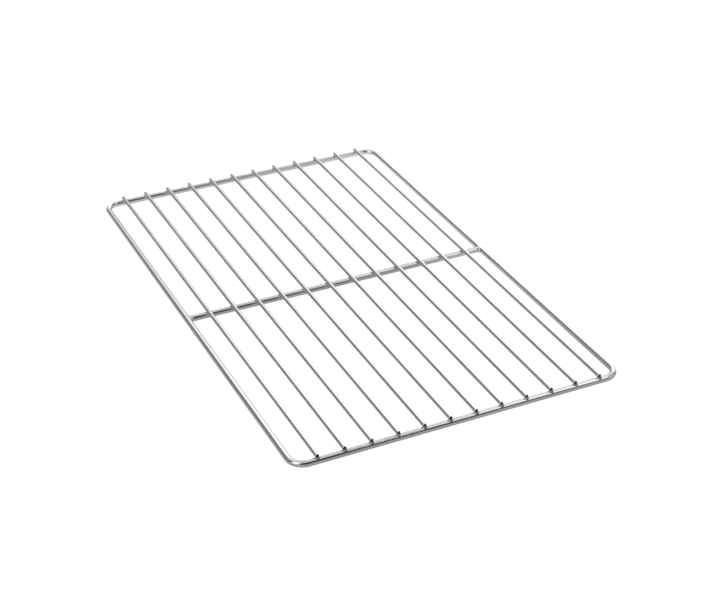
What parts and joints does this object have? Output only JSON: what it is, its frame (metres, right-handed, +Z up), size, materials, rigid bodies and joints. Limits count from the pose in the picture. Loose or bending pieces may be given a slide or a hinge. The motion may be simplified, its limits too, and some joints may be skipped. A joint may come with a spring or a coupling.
{
  "type": "cooling rack",
  "caption": "Flat welded wire rack: a bent rod frame with a cross bar and a row of lengthwise wires on top, for cooling baked goods.",
  "frame": {"origin": "on the surface that the rack rests on, at the middle of the frame's outline", "axes": "X across the short side, Y along the wires and the long side with the frame's butt weld at -Y, +Z up, wires on top"},
  "size_m": [0.325, 0.53, 0.0096],
  "materials": {
    "rod_steel": "electropolished stainless rod",
    "wire_steel": "electropolished stainless drawn wire",
    "weld_steel": "pickled weld metal, slightly dull"
  },
  "bodies": {
    "root": {"frame_rod": "rod_steel", "cross_bar": "rod_steel", "grid_wire_01": "wire_steel", "grid_wire_02": "wire_steel", "grid_wire_03": "wire_steel", "grid_wire_04": "wire_steel", "grid_wire_05": "wire_steel", "grid_wire_06": "wire_steel", "grid_wire_07": "wire_steel", "grid_wire_08": "wire_steel", "grid_wire_09": "wire_steel", "grid_wire_10": "wire_steel", "grid_wire_11": "wire_steel", "grid_wire_12": "wire_steel", "frame_butt_weld": "weld_steel", "cross_bar_weld_left": "weld_steel", "cross_bar_weld_right": "weld_steel", "wire_welds_front": "weld_steel", "wire_welds_middle": "weld_steel", "wire_welds_rear": "weld_steel"}
  },
  "joints": []
}
